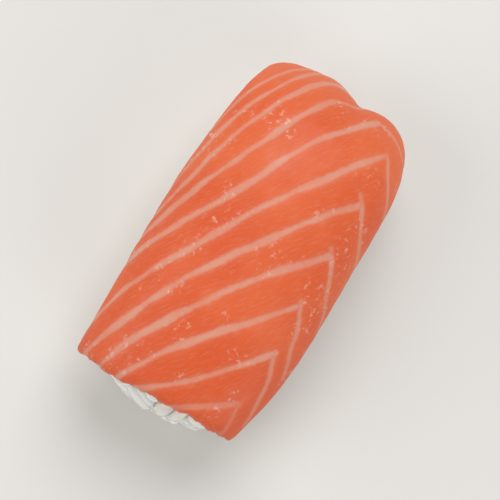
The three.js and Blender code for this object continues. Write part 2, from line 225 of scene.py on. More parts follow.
# Fat lines, in millimetres along and across the slice as if it lay flat. Most are chevrons with a
# long arm and a short one, and the last few run over the hanging end with a long arm alone.
# Place of the point along and across, slopes of the long arm at the point and one and two steps
# behind it, slope of the short arm and how far it runs past the point, strength
FAT_LINES = [
    (-24.5, -12.2, (1.75, 1.75, 1.75), 0.40, 0.2, 0.55),
    (-14.8, -12.1, (0.93, 1.29, 1.64), 0.42, 0.3, 0.95),
    (-6.0, -11.4, (1.02, 0.69, 0.36), 0.45, 0.7, 1.00),
    (3.4, -11.4, (0.98, 0.64, 0.30), 0.62, 1.0, 1.00),
    (12.9, -11.6, (0.95, 0.63, 0.53), 0.80, 1.6, 1.00),
    (23.3, -12.1, (0.87, 0.62, 0.64), 0.76, 0.2, 1.00),
    (28.6, -8.9, (1.02, 0.50, 0.92), 9.00, 0.0, 1.00),
    (32.0, -4.8, (1.03, 0.43, 0.78), None, None, 0.95),
    (32.1, 0.2, (1.19, 0.29, 0.85), None, None, 0.90),
    (34.0, 5.0, (0.81, 0.33, 0.30), None, None, 0.85),
    (33.8, 7.0, (1.25, 0.20, 0.30), None, None, 0.80),
]
FAT_SLOPE_STEP = 20
FAT_REACH = 95  # length of a long arm, most of it past the edge
FAT_LEAD = 8  # straight lead-in of a line that runs over the end
FAT_STEP = 0.12
FAT_LEAST_SLOPE = 0.3
FAT_LEAN = 0.35  # slant of the fat sheets through the thickness
FAT_WOBBLE = [(0.18, 0.30, 1.7), (0.07, 0.9, 2.9)]  # heights, rates, and shifts from line to line
FAT_WOBBLE_START = 4
FAT_SWELL = [(0.22, 0.31, 2.3), (0.12, 0.83, 1.0)]
FAT_FULL = 0.9  # strength of a line, and how it comes and goes
FAT_FADE = [(0.1, 0.5, 1.0)]
FAT_SHORT_ARM = 14
FAT_SHORT_STRENGTH = 0.8
FAT_SHORT_FADE = 0.3
FAT_SHORT_WIDTH = 0.8
FAT_SHORT_SAG = [(0.2, 0.7, 1.0)]
FAT_PAST_POINT = 0.7  # strength of a short arm past the point

# Finish of the flesh. Noises: scale a metre, detail and roughness
WANDER_NOISE = (210, 2.0, 0.5)
FRAY_NOISE = (1100, 3.0, 0.6)
CREAM_NOISE = (320, 2.0, 0.5)
PATCH_NOISE = (75, 2.0, 0.5)
SPECKLE_NOISE = (2400, 2.0, 0.5)
# mottle of the wet flecks, which carry real gloss and a painted highlight
GLINT_MOTTLE_NOISE = (1150, 4.0, 0.62)
SPOT_NOISE = (190, 1.0, 0.5)
FIBRE_NOISE = (1.0, 3.0, 0.6)  # over the fibres' own place
FIBRE_LENGTHWISE = (0.42, -0.33, 0.6)  # rates of that place along, across and with the wander
FIBRE_CROSSWISE = (1.9, 2.4, 1.5)
NOISE_MIDDLE = 0.5

# Soft steps: the value at which each begins and the one at which it is complete
FAT_EDGE = (0.32, -0.36)
FAT_HALO = (1.3, -0.2)
PALER_FLESH = (0.32, 0.68)
FIBRES_SHOW = (0.45, 0.8)
SPECKLE_SHOWS = (0.55, 0.8)
GLINT_MOTTLE_SHOWS = (0.54, 0.68)
SPOTS_SHOW = (0.58, 0.68)
BY_POINTS = (-7.0, -12.0)
BY_LINES = (1.1, 0.0)

# Shares of the layers in the flesh's colour
EDGE_WANDER = 0.55
EDGE_FRAY = 0.5
CREAM_LEAST = 0.62
CREAM_MORE = 0.7
# painted light: how fast the flesh grows paler along the slice towards the hanging end, as if lit more there
PAINTED_LIGHT_ALONG = 0.005
FIBRE_COLOUR = 0.26
HALO_COLOUR = 0.12
SPECKLE_COLOUR = 0.12
# painted highlight: share of the pale fleck colour laid into the flesh on the wet flecks
FLECK_PAINTED_GLINT = 0.42
FLECKS_BY_POINTS = 0.05
FLECKS_BY_LINES = 0.06

# Shares of the layers in the flesh's relief, roughness and wetness
FIBRE_RELIEF = 0.45
SPECKLE_RELIEF = 0.18
FRAY_RELIEF = 0.25
FAT_RELIEF = 0.25
FLECK_RELIEF = 0.5
FLESH_BUMP = {"Strength": 0.35, "Distance": 0.00025}
FLESH_ROUGHNESS = 0.40
FIBRE_ROUGHNESS = 0.16
SPECKLE_ROUGHNESS = 0.08
FLECK_SMOOTHNESS = 0.22
FLESH_COAT = 0.05
PATCH_COAT = 0.10
FLECK_COAT = 0.25
FLESH_SHADER = {
    "Coat Roughness": 0.18,
    "IOR": 1.40,
    "Specular IOR Level": 0.32,
    "Subsurface Weight": 0.22,
    "Subsurface Radius": (1.0, 0.32, 0.16),
    "Subsurface Scale": 0.0016,
}

# Finish of the rice, in the same terms
CLOUD_NOISE = (420, 2.0, 0.5)
STARCH_NOISE = (1900, 2.0, 0.5)
RICE_CLEAR = (0.35, 1.0)
TONE_CLEAR = 0.7
CLOUD_CLEAR = 0.5
CLOUD_RELIEF = 0.6
STARCH_RELIEF = 0.4
RICE_BUMP = {"Strength": 0.25, "Distance": 0.0002}
RICE_ROUGHNESS = 0.17
STARCH_ROUGHNESS = 0.16
RICE_COAT = 0.25
CLOUD_COAT = 0.3
RICE_SHADER = {
    "Coat Roughness": 0.1,
    "IOR": 1.42,
    "Specular IOR Level": 0.5,
    "Subsurface Weight": 0.85,
    "Subsurface Radius": (1.0, 0.94, 0.84),
    "Subsurface Scale": 0.0022,
}

# Stage, in metres
STAGE_MIDDLE = (0, 0, 0.012)
FLOOR_SIZE = 6
FLOOR_DROP = 0.00005
FLOOR_NOISE = (6, 2.0, 0.5)
FLOOR_DARKEST = 0.97
FLOOR_ROUGHNESS = 0.75
# Name, place and width of each light, the setting for its power and its share of that
LIGHTS = [
    ("key_light", (0.42, 0.08, 0.62), 0.55, "key_power", 1.0),
    ("fill_light", (-0.28, 0.46, 0.38), 0.60, "fill_power", 1.0),
    ("low_light", (-0.26, -0.53, 0.28), 0.50, "fill_power", 0.8),
]
ROOM_COLOUR = (1.0, 0.99, 0.975, 1)
ROOM_STRENGTH = 0.36
SENSOR_WIDTH = 36  # in millimetres, as Blender's lenses are
CLIP_START = 0.01


def srgb(red, green, blue):
    """A colour as seen, from 0 to 255, in the linear values that shaders take."""
    shares = [v / 255 for v in (red, green, blue)]
    return tuple(v / 12.92 if v <= 0.04045 else ((v + 0.055) / 1.055) ** 2.4 for v in shares)


class NigiriRiceSettings(bpy.types.PropertyGroup):
    """Sizes and colours of the rice"""

    grain_length: FloatProperty(
        name="Grain Length", description="Length of an average cooked grain", default=0.0064, unit="LENGTH"
    )
    grain_width: FloatProperty(
        name="Grain Width", description="Width of an average cooked grain", default=0.0030, unit="LENGTH"
    )
    grain_spacing: FloatProperty(
        name="Grain Spacing",
        description="Square root of the skin that each grain takes",
        default=0.0032,
        unit="LENGTH",
    )
    seed: IntProperty(name="Seed", description="Draw of the grains' places and turns", default=11)
    colour: FloatVectorProperty(
        name="Rice Colour",
        description="Colour of a plump grain",
        subtype="COLOR",
        default=srgb(250, 247, 239),
    )
    # Also laid on most of the core behind the grains, as painted shade in the gaps between them
    shade: FloatVectorProperty(
        name="Clear Grain Colour",
        description="Colour of a grain that is cooked clear",
        subtype="COLOR",
        default=srgb(238, 234, 223),
    )


class NigiriSalmonSettings(bpy.types.PropertyGroup):
    """Sizes and colours of the slice"""

    thickness: FloatProperty(
        name="Thickness",
        description="Thickness of the slice along its middle",
        default=0.0052,
        unit="LENGTH",
    )
    fat_width: FloatProperty(
        name="Fat Line Width", description="Width of a fat line", default=0.0010, unit="LENGTH"
    )
    groove: FloatProperty(
        name="Groove", description="Depth of the dip along each fat line", default=0.00010, unit="LENGTH"
    )
    flesh: FloatVectorProperty(
        name="Flesh", description="Colour of the flesh", subtype="COLOR", default=srgb(221, 92, 47)
    )
    # Laid on paler patches at random, and more towards the hanging end as painted light
    pale_flesh: FloatVectorProperty(
        name="Pale Flesh",
        description="Colour of the paler flesh",
        subtype="COLOR",
        default=srgb(228, 107, 61),
    )
    fat: FloatVectorProperty(
        name="Fat", description="Colour of the fat lines", subtype="COLOR", default=srgb(221, 154, 131)
    )
    # Painted highlight: a pale colour laid on the wet flecks, standing in for glints of light
    wet_fleck_and_painted_glint: FloatVectorProperty(
        name="Fleck",
        description="Colour of the small wet flecks",
        subtype="COLOR",
        default=srgb(242, 200, 180),
    )


class NigiriStageSettings(bpy.types.PropertyGroup):
    """Floor, lights and camera"""

    floor: FloatVectorProperty(
        name="Floor", description="Colour of the floor", subtype="COLOR", default=srgb(228, 226, 222)
    )
    turn: FloatProperty(
        name="Turn",
        description="Way that is up in the picture, from +X",
        default=math.radians(31),
        subtype="ANGLE",
    )
    lean_down: FloatProperty(
        name="Lean Down",
        description="Camera's lean from overhead towards the picture's foot",
        default=math.radians(1.2),
        subtype="ANGLE",
    )
    lean_left: FloatProperty(
        name="Lean Left",
        description="Camera's lean from overhead towards the picture's left",
        default=math.radians(2.5),
        subtype="ANGLE",
    )
    distance: FloatProperty(
        name="Distance",
        description="From the camera to the middle of the piece",
        default=0.62,
        unit="LENGTH",
    )
    view_width: FloatProperty(
        name="View Width",
        description="Width of the picture at the middle of the piece",
        default=0.078,
        unit="LENGTH",
    )
    key_power: FloatProperty(
        name="Key Light", description="Power of the main soft light", default=3.35, unit="POWER"
    )
    fill_power: FloatProperty(
        name="Fill Light", description="Power of the soft light opposite", default=1.4, unit="POWER"
    )


def pick(sockets, key):
    """A socket by its number, identifier or name."""
    if isinstance(key, int):
        return sockets[key]
    return next(s for s in sockets if key in (s.identifier, s.name))


class Wire:
    """A shader socket that can be worked with as a number."""

    def __init__(self, tree, socket=None):
        self.tree = tree
        self.socket = socket

    def node(self, kind, settings=None, inputs=None, output=0):
        """Adds a node, sets it up, feeds its sockets and gives back one of its outputs."""
        made = self.tree.nodes.new(kind)
        for key, value in (settings or {}).items():
            setattr(made, key, value)
        for key, value in (inputs or {}).items():
            socket = pick(made.inputs, key)
            if isinstance(value, Wire):
                self.tree.links.new(value.socket, socket)
            else:
                socket.default_value = value
        if not made.outputs:
            return made
        return Wire(self.tree, pick(made.outputs, output))

    def maths(self, operation, first, second):
        return self.node("ShaderNodeMath", {"operation": operation}, {0: first, 1: second})

    def __add__(self, other):
        return self.maths("ADD", self, other)

    __radd__ = __add__

    def __sub__(self, other):
        return self.maths("SUBTRACT", self, other)

    def __rsub__(self, other):
        return self.maths("SUBTRACT", other, self)

    def __mul__(self, other):
        return self.maths("MULTIPLY", self, other)

    __rmul__ = __mul__


def attribute(desk, name, output="Fac"):
    """A value that the mesh keeps for each vertex."""
    return desk.node("ShaderNodeAttribute", {"attribute_name": name}, None, output)


def noise(desk, place, scale, detail, roughness):
    """Even noise, from 0 to 1 and mostly near a half."""
    return desk.node(
        "ShaderNodeTexNoise",
        {"noise_dimensions": "3D"},
        {"Vector": place, "Scale": scale, "Detail": detail, "Roughness": roughness},
        "Fac",
    )


def step_between(desk, value, begun, complete):
    """A soft step: 0 where it begins and 1 where it is complete."""
    return desk.node(
        "ShaderNodeMapRange",
        {"interpolation_type": "SMOOTHSTEP"},
        {"Value": value, "From Min": begun, "From Max": complete, "To Min": 0.0, "To Max": 1.0},
    )


def mix_colour(desk, share, first, second):
    """One colour laid over another by a share."""
    first = first if isinstance(first, Wire) else (*first, 1)
    second = second if isinstance(second, Wire) else (*second, 1)
    return desk.node(
        "ShaderNodeMix",
        {"data_type": "RGBA"},
        {"Factor_Float": share, "A_Color": first, "B_Color": second},
        "Result_Color",
    )


def new_material(name):
    """An empty node material, a handle for adding nodes to it, and the place on the piece."""
    material = bpy.data.materials.new(name)
    material.use_nodes = True
    material.node_tree.nodes.clear()
    desk = Wire(material.node_tree)
    return material, desk, desk.node("ShaderNodeTexCoord", None, None, "Object")


def close_material(desk, sockets):
    """Adds the surface shader and the output."""
    shader = desk.node("ShaderNodeBsdfPrincipled", None, sockets)
    desk.node("ShaderNodeOutputMaterial", None, {"Surface": shader})


def salmon_material(settings):
    """Moist raw salmon: orange flesh with fine fibres, soft pale fat lines and small wet flecks with painted
    highlights.
    """
    material, desk, place = new_material("salmon_flesh")
    gap = attribute(desk, "fat_gap")
    strength = attribute(desk, "fat_strength")
    flat = attribute(desk, "flat_place", "Vector")
    along = desk.node("ShaderNodeSeparateXYZ", None, {"Vector": flat}, "X")
    across = desk.node("ShaderNodeSeparateXYZ", None, {"Vector": flat}, "Y")

    # Fat lines with wandering, frayed edges
    wander = noise(desk, place, *WANDER_NOISE)
    fray = noise(desk, place, *FRAY_NOISE)
    cream = noise(desk, place, *CREAM_NOISE)
    edge = gap + (wander - NOISE_MIDDLE) * EDGE_WANDER + (fray - NOISE_MIDDLE) * EDGE_FRAY
    fat = step_between(desk, edge, *FAT_EDGE) * strength * (CREAM_LEAST + CREAM_MORE * cream)
    halo = step_between(desk, edge, *FAT_HALO) * strength

    # Muscle fibres that run with the fat lines
    lengthwise, crosswise = (
        along * run + across * rise + wander * stray
        for run, rise, stray in (FIBRE_LENGTHWISE, FIBRE_CROSSWISE)
    )
    fibre_place = desk.node("ShaderNodeCombineXYZ", None, {"X": lengthwise, "Y": crosswise, "Z": 0.0})
    fibres = noise(desk, fibre_place, *FIBRE_NOISE)
    patches = noise(desk, place, *PATCH_NOISE)
    speckle = noise(desk, place, *SPECKLE_NOISE)

    # Paler patches at random, and painted light: the flesh grows paler towards the hanging end, as if lit
    # more there
    paler = step_between(desk, patches + along * PAINTED_LIGHT_ALONG, *PALER_FLESH)
    streaks = step_between(desk, fibres, *FIBRES_SHOW) * FIBRE_COLOUR + halo * HALO_COLOUR
    specks = step_between(desk, speckle, *SPECKLE_SHOWS) * SPECKLE_COLOUR
    flesh = mix_colour(desk, paler, settings.flesh, settings.pale_flesh)
    flesh = mix_colour(desk, streaks, flesh, settings.fat)
    flesh = mix_colour(desk, specks, flesh, settings.fat)
    colour = mix_colour(desk, fat, flesh, settings.fat)

    # Small wet flecks, most of them on the fat lines and by the points of the chevrons; they are glossier
    # and bumped, and the pale colour laid into the flesh there is a painted highlight
    glint_mottle = noise(desk, place, *GLINT_MOTTLE_NOISE)
    spots = noise(desk, place, *SPOT_NOISE)
    spots = spots + step_between(desk, across, *BY_POINTS) * FLECKS_BY_POINTS
    spots = spots + step_between(desk, gap, *BY_LINES) * FLECKS_BY_LINES
    wet_fleck_and_painted_glint = step_between(desk, glint_mottle, *GLINT_MOTTLE_SHOWS) * step_between(desk, spots, *SPOTS_SHOW)
    colour = mix_colour(desk, wet_fleck_and_painted_glint * FLECK_PAINTED_GLINT, colour, settings.wet_fleck_and_painted_glint)

    relief = fibres * FIBRE_RELIEF + speckle * SPECKLE_RELIEF + fray * FRAY_RELIEF
    relief = relief - fat * FAT_RELIEF + wet_fleck_and_painted_glint * FLECK_RELIEF
    roughness = FLESH_ROUGHNESS + fibres * FIBRE_ROUGHNESS + speckle * SPECKLE_ROUGHNESS
    close_material(
        desk,
        {
            "Base Color": colour,
            "Roughness": roughness - wet_fleck_and_painted_glint * FLECK_SMOOTHNESS,
            "Coat Weight": FLESH_COAT + patches * PATCH_COAT + wet_fleck_and_painted_glint * FLECK_COAT,
            "Normal": desk.node("ShaderNodeBump", None, {**FLESH_BUMP, "Height": relief}),
            **FLESH_SHADER,
        },
    )
    return material


def rice_material(settings):
    """Cooked rice: glossy, faintly clear, each grain a little different; the core is painted in the darker
    clear colour as shade.
    """
    material, desk, place = new_material("cooked_rice")
    tone = attribute(desk, "grain_tone_and_core_shade")
    cloud = noise(desk, place, *CLOUD_NOISE)
    starch = noise(desk, place, *STARCH_NOISE)
    # Share of the clear colour: random from grain to grain, and high on the core, where it is painted shade
    # in the gaps between the grains
    clear = step_between(desk, tone * TONE_CLEAR + cloud * CLOUD_CLEAR, *RICE_CLEAR)
    relief = cloud * CLOUD_RELIEF + starch * STARCH_RELIEF
    close_material(
        desk,
        {
            "Base Color": mix_colour(desk, clear, settings.colour, settings.shade),
            "Roughness": RICE_ROUGHNESS + starch * STARCH_ROUGHNESS,
            "Coat Weight": RICE_COAT + cloud * CLOUD_COAT,
            "Normal": desk.node("ShaderNodeBump", None, {**RICE_BUMP, "Height": relief}),
            **RICE_SHADER,
        },
    )
    return material


def floor_material(settings):
    """A plain pale matt floor with a trace of mottling."""
    material, desk, place = new_material("pale_floor")
    mottle = noise(desk, place, *FLOOR_NOISE)
    darkest = tuple(v * FLOOR_DARKEST for v in settings.floor)
    colour = mix_colour(desk, mottle, settings.floor, darkest)
    close_material(desk, {"Base Color": colour, "Roughness": FLOOR_ROUGHNESS})
    return material


def unit(vectors):
    return vectors / (np.linalg.norm(vectors, axis=-1, keepdims=True) + TINY)


def wave(rate_and_start, place):
    """A sine wave of a given rate and start."""
    rate, start = rate_and_start
    return np.sin(rate * place + start)


def waves(parts, place, number):
    """Sine waves added up, each with its height, rate and shift from one numbered line to the next."""
    return sum(height * np.sin(rate * place + shift * number) for height, rate, shift in parts)


def hump(place, middle, width):
    """A soft hump, 1 at its middle."""
    return np.exp(-(((place - middle) / width) ** 2))


def walk_along(points):
    """Distance walked to each point of a row of points."""
    return np.concatenate([[0], np.cumsum(np.linalg.norm(np.diff(points, axis=0), axis=1))])


def fall_at(distance, fall):
    """Depth and slope of a superellipse fall at a distance from the crown."""
    reach, drop, power = fall
    share = np.minimum(np.abs(distance) / reach, FALL_LIMIT)
    left = 1 - share**power
    depth = drop * (1 - left ** (1 / power))
    slope = drop / reach * share ** (power - 1) * left ** (1 / power - 1)
    return depth, np.sign(distance) * slope


def crease_at(along, y):
    """How far the crease draws the hanging end in, and how fast that changes along and across."""
    off = (y - CREASE_Y) / CREASE_WIDTH
    ahead = np.maximum(along, SMALL)
    depth = CREASE_DEPTH * (ahead / FALL_HUNG[0]) ** CREASE_POWER * np.exp(-(off**2))
    return depth, depth * CREASE_POWER / ahead, -2 * off * depth / CREASE_WIDTH


def underside_at(x, y):
    """Height and slopes of the slice's underside over a point of the plan."""
    along = x - SLICE_CROWN_X
    crease, crease_x, crease_y = crease_at(along, y)
    hung, hung_slope = fall_at(along + crease, FALL_HUNG)
    cut, cut_slope = fall_at(along, FALL_CUT)
    side, side_slope = fall_at(y, FALL_SIDE)
    depth = np.where(along > 0, hung, cut) + side
    slope_x = np.where(along > 0, hung_slope * (1 + crease_x), cut_slope)
    slope_y = side_slope + np.where(along > 0, hung_slope * crease_y, 0)
    return RICE_TOP + SLICE_GAP - depth, slope_x, slope_y


def crowded(reach, step):
    """Spreads even steps over a reach so that they crowd towards the edges, where the slice bends most."""
    return reach * np.sin(step * SLICE_CROWDING) / math.sin(SLICE_CROWDING)


def slice_plan(p, q):
    """Plan of the underside for a place on the slice, each of p and q from -1 to 1."""
    cut_corner = np.where(q > 0, CORNER_CUT_LEFT, CORNER_CUT_RIGHT)
    hung_corner = np.where(q > 0, CORNER_HUNG_LEFT, CORNER_HUNG_RIGHT)
    corner = np.where(p < 0, cut_corner, hung_corner)
    along = p * np.sqrt(1 - corner * q * q / 2)
    across = q * np.sqrt(1 - corner * p * p / 2)
    length = np.where(along > 0, SLICE_HUNG_LENGTH, SLICE_CUT_LENGTH)
    taper = np.where((q < 0) & (p < 0), SLICE_CUT_TAPER * p * p, 0)
    y = crowded(SLICE_HALF_WIDTH - taper, across)
    reach = crowded(length, along)
    x = SLICE_CROWN_X + reach - crease_at(reach, y)[0]

    # Unevenness of the cut edges, measured along the slice, so that it shrinks in plan where it is steep
    _, slope_x, slope_y = underside_at(x, y)
    dent = -SLICE_DENT * p**SLICE_DENT_POWER * hump(q, SLICE_DENT_PLACE, SLICE_DENT_WIDTH)
    notch = SLICE_NOTCH * p**SLICE_DENT_POWER * hump(q, SLICE_NOTCH_PLACE, SLICE_NOTCH_WIDTH)
    drawn_in = np.where(p > 0, dent, notch)
    slant = np.where(p > 0, SLICE_SLANT, SLICE_CUT_SLANT) * p**SLICE_SLANT_POWER * q
    hollow = np.where(p < 0, SLICE_CUT_HOLLOW * p**SLICE_SLANT_POWER * (1 - q * q), 0)
    end_wave = SLICE_RAGGED * wave(SLICE_WAVES_END, q) * p**SLICE_RAGGED_POWER
    side_wave = SLICE_RAGGED * wave(SLICE_WAVES_SIDE, p * np.sign(q)) * q**SLICE_RAGGED_POWER
    x = x + (end_wave + slant + hollow + drawn_in) / np.hypot(1, slope_x)
    return x, y + side_wave / np.hypot(1, slope_y)


def slice_point(p, q, lift, thickness):
    """A point of the slice, with the way out of its top: lift 0 is the underside and 1 the top."""
    x, y = slice_plan(p, q)
    height, slope_x, slope_y = underside_at(x, y)
    normal = np.stack([slope_x, slope_y, np.ones_like(slope_x)], -1)
    normal /= np.linalg.norm(normal, axis=-1, keepdims=True)
    end_thin = np.where(p > 0, SLICE_HUNG_THIN, SLICE_CUT_THIN)
    lengthwise = 1 - end_thin * np.abs(p) ** SLICE_THIN_POWER
    crosswise = 1 - SLICE_SIDE_THIN * np.abs(q) ** SLICE_THIN_POWER
    uneven = SLICE_UNEVEN * wave(SLICE_SWELLS_LONG, p) * wave(SLICE_SWELLS_WIDE, q)
    local = thickness * lengthwise * crosswise + uneven
    return np.stack([x, y, height], -1) + normal * (lift * local)[..., None], normal


def flat_scale(thickness):
    """Steps from -1 to 1 with the lengths along and across the top that they stand for."""
    steps = np.linspace(-1, 1, SLICE_FLAT_STEPS)
    none = np.zeros_like(steps)
    lengths = []
    for p, q in ((steps, none), (none, steps)):
        points, _ = slice_point(p, q, np.ones_like(steps), thickness)
        walk = walk_along(points)
        lengths.append(walk - np.interp(0, steps, walk))
    return steps, *lengths


def curve_through(values, place):
    """A curve with the given values at 0, 1 and 2."""
    first, second, third = values
    bend = (first - 2 * second + third) / 2
    return first + (second - first - bend) * place + bend * place**2


def fat_samples():
    """Points along every fat line of the flat slice, with the strength and half-width share there."""
    points, strengths, widths = [], [], []
    for number, (point, row, slopes, short_slope, overshoot, strength) in enumerate(FAT_LINES):
        lead = 0 if short_slope else FAT_LEAD
        back = np.arange(-lead, FAT_REACH, FAT_STEP)
        behind = np.maximum(back, 0)
        climb = np.maximum(curve_through(slopes, behind / FAT_SLOPE_STEP), FAT_LEAST_SLOPE)
        across = row - lead * slopes[0] + np.cumsum(climb) * FAT_STEP
        across += waves(FAT_WOBBLE, back, number) * np.minimum(1, behind / FAT_WOBBLE_START)
        points.append(np.stack([point - back, across], 1))
        strengths.append(strength * (FAT_FULL + waves(FAT_FADE, back, number)))
        widths.append(1 + waves(FAT_SWELL, back, number))
        if not short_slope:
            continue
        down = np.arange(-overshoot, FAT_SHORT_ARM, FAT_STEP)
        share = 1 / math.hypot(1, short_slope)
        sagging = row - short_slope * share * down + waves(FAT_SHORT_SAG, down, number)
        points.append(np.stack([point - share * down, sagging], 1))
        fade = np.where(down < 0, FAT_PAST_POINT, 1 - FAT_SHORT_FADE * down / FAT_SHORT_ARM)
        strengths.append(strength * FAT_SHORT_STRENGTH * fade)
        widths.append(np.full(len(down), FAT_SHORT_WIDTH))
    return np.concatenate(points), np.concatenate(strengths), np.concatenate(widths)


def nearest_fat(along, across):
    """For places on the flat slice: distance to the nearest fat line, its strength and width share."""
    points, strengths, widths = fat_samples()
    tree = kdtree.KDTree(len(points))
    for number, (a, b) in enumerate(points):
        tree.insert((a, b, 0), number)
    tree.balance()
    found = [tree.find((a, b, 0))[1:] for a, b in zip(along, across)]
    index = np.array([n for n, _ in found])
    return np.array([d for _, d in found]), strengths[index], widths[index]


def deselect_all():
    if bpy.context.object and bpy.context.object.mode != "OBJECT":
        bpy.ops.object.mode_set(mode="OBJECT")
    bpy.ops.object.select_all(action="DESELECT")


def places_of(mesh):
    """Vertex places as an array."""
    flat = np.zeros(len(mesh.vertices) * 3)
    mesh.vertices.foreach_get("co", flat)
    return flat.reshape(-1, 3)


def set_places(mesh, places):
    mesh.vertices.foreach_set("co", places.astype(np.float32).ravel())
    mesh.update()


def add_values(mesh, name, values, kind="FLOAT"):
    """Keeps a value for each vertex, for the materials."""
    kept = mesh.attributes.new(name, kind, "POINT")
    field = "value" if kind == "FLOAT" else "vector"
    kept.data.foreach_set(field, np.asarray(values, dtype=np.float32).ravel())


def slab_of_steps():
    """A flat slab from -1 to 1 each way: a grid extruded to one thickness, its wall cut into rows."""
    deselect_all()
    bpy.ops.mesh.primitive_grid_add(x_subdivisions=SLICE_STEPS_LONG, y_subdivisions=SLICE_STEPS_WIDE, size=2)
    slab = bpy.context.object
    bpy.context.tool_settings.mesh_select_mode = (False, True, False)
    bpy.ops.object.mode_set(mode="EDIT")
    bpy.ops.mesh.select_all(action="SELECT")
    bpy.ops.mesh.extrude_region_move(TRANSFORM_OT_translate={"value": (0, 0, 1)})
    bpy.ops.mesh.select_all(action="DESELECT")
    bpy.ops.object.mode_set(mode="OBJECT")
    height = places_of(slab.data)[:, 2]
    ends = np.zeros(len(slab.data.edges) * 2, dtype=np.int64)
    slab.data.edges.foreach_get("vertices", ends)
    ends = ends.reshape(-1, 2)
    upright = np.abs(height[ends[:, 0]] - height[ends[:, 1]]) > 0.5
    slab.data.edges.foreach_set("select", upright)
    bpy.ops.object.mode_set(mode="EDIT")
    bpy.ops.mesh.subdivide(number_cuts=RIM_CUTS)
    bpy.ops.mesh.select_all(action="SELECT")
    bpy.ops.mesh.normals_make_consistent(inside=False)
    bpy.ops.object.mode_set(mode="OBJECT")
    return slab


def ragged_rim(place, level):
    """Unevenness of the rim: a slow wave that twists through the thickness, and two quicker ones."""
    drift, drift_rate = RIM_DRIFT
    starts = (RIM_TWIST * level, RIM_START, drift * np.sin(drift_rate * place))
    return sum(height * np.sin(rate * place + start) for (height, rate), start in zip(RIM_WAVES, starts))


def top_relief(along, across, gap, strength, half_width, groove):
    """Low relief of the top: a dip along each fat line, flesh slightly full between them."""
    relief = -groove * strength * hump(gap, 0, GROOVE_REACH * half_width)
    relief += FULLNESS * np.minimum(1, gap / FULLNESS_REACH)
    swell = SWELL
    for rate_along, rate_across, start in SWELL_WAVES:
        swell = swell * np.sin(rate_along * along + rate_across * across + start)
    return relief + swell


def drape_slice(slab, settings):
    """Bends the flat slab over the rice, rounds its rim and presses in the fat lines."""
    mesh = slab.data
    thickness = settings.thickness / MM
    p, q, level = places_of(mesh).T
    steps, length, width = flat_scale(thickness)
    along = np.interp(p, steps, length)
    across = np.interp(q, steps, width)
    leaning = along + FAT_LEAN * thickness * (level - 1)
    gap, strength, swell = nearest_fat(leaning, across)
    half_width = settings.fat_width / MM / 2 * swell

    # The rim is rounded above and below, and bulges between
    inward = np.minimum(
        np.minimum(length[-1] - along, along - length[0]),
        np.minimum(width[-1] - across, across - width[0]),
    )
    near = np.exp(-inward / RIM_REACH)
    lift = level + (1 - 2 * level) * RIM_ROUND * near
    places, normal = slice_point(p, q, lift, thickness)
    halfway = np.full_like(p, 0.5)
    edge, _ = slice_point(p, q, halfway, thickness)
    inside, _ = slice_point(p * RIM_INSIDE, q * RIM_INSIDE, halfway, thickness)
    wall = (inward < SMALL).astype(float)
    bulge = RIM_BULGE * np.sqrt(np.maximum(0, 1 - (2 * level - 1) ** 2))
    ragged = ragged_rim(along + RIM_ACROSS * across, level)
    places += unit(edge - inside) * (wall * bulge + ragged * near)[:, None]

    relief = top_relief(along, across, gap, strength, half_width, settings.groove / MM)
    places += normal * (relief * level * (1 - near))[:, None]

    set_places(mesh, places * MM)
    add_values(mesh, "fat_gap", gap - half_width)
    add_values(mesh, "fat_strength", strength)
    add_values(mesh, "flat_place", np.stack([leaning, across, level], 1), "FLOAT_VECTOR")


def rice_plan(angle, share):
    """Plan of the bare rice at an angle round it, for a share of the way out."""
    power = 2 / RICE_CORNER
    c, s = np.cos(angle), np.sin(angle)
    x = RICE_MIDDLE + share * RICE_HALF_LENGTH * np.sign(c) * np.abs(c) ** power
    return x, share * RICE_HALF_WIDTH * np.sign(s) * np.abs(s) ** power


def rice_top(angle, share):
    """Top of the bare rice: the slice's underside less the gap, rounded off at the bed's own rim."""
    x, y = rice_plan(angle, share)
    past = np.maximum(0, (share - RICE_SHOULDER_START) / (1 - RICE_SHOULDER_START))
    return np.stack([x, y, underside_at(x, y)[0] - SLICE_GAP - RICE_SHOULDER * past**2], -1)


def rice_side(angle, up):
    """Side of the bare rice: up is 0 at the foot and 1 at the rim."""
    rim = rice_top(angle, np.ones_like(angle))
    outward = rim[..., :2] - np.array([RICE_MIDDLE, 0])
    outward /= np.linalg.norm(outward, axis=-1, keepdims=True)
    tuck = (1 - np.minimum(1, np.maximum(0, up) / RICE_TUCK_HEIGHT)) ** 2
    swell = RICE_BULGE * np.sin(math.pi * up) - RICE_TUCK * tuck
    plan = rim[..., :2] + outward * swell[..., None]
    return np.concatenate([plan, (rim[..., 2] * up)[..., None]], -1)


def rice_skin(angle, up):
    """Skin of the bare rice: up is 0 at the foot, 1 at the rim and 2 at the crown."""
    side = rice_side(angle, np.minimum(up, 1))
    top = rice_top(angle, np.clip(2 - up, 0, 1))
    return np.where((up <= 1)[..., None], side, top)


def rice_directions(angle, up):
    """Skin point, the ways round and up the skin with their lengths, and the way out."""
    step = RICE_SLOPE_STEP
    round_way = (rice_skin(angle + step, up) - rice_skin(angle - step, up)) / (2 * step)
    up_way = (rice_skin(angle, up + step) - rice_skin(angle, up - step)) / (2 * step)
    return rice_skin(angle, up), round_way, up_way, unit(np.cross(round_way, up_way))


def press_apart(beads, reach, owner):
    """Pushes on the beads that lie too close to the beads of other grains."""
    square = (beads**2).sum(1)
    near = square[:, None] + square[None, :] - 2 * beads @ beads.T < (2 * reach.max()) ** 2
    first, second = np.nonzero(near & (owner[:, None] != owner[None, :]))
    apart = beads[first] - beads[second]
    distance = np.linalg.norm(apart, axis=1) + SMALL
    press = np.maximum(0, (reach[first] + reach[second]) * GRAIN_TIGHTNESS - distance)
    push = np.zeros_like(beads)
    np.add.at(push, first, apart * (press / distance)[:, None])
    return push


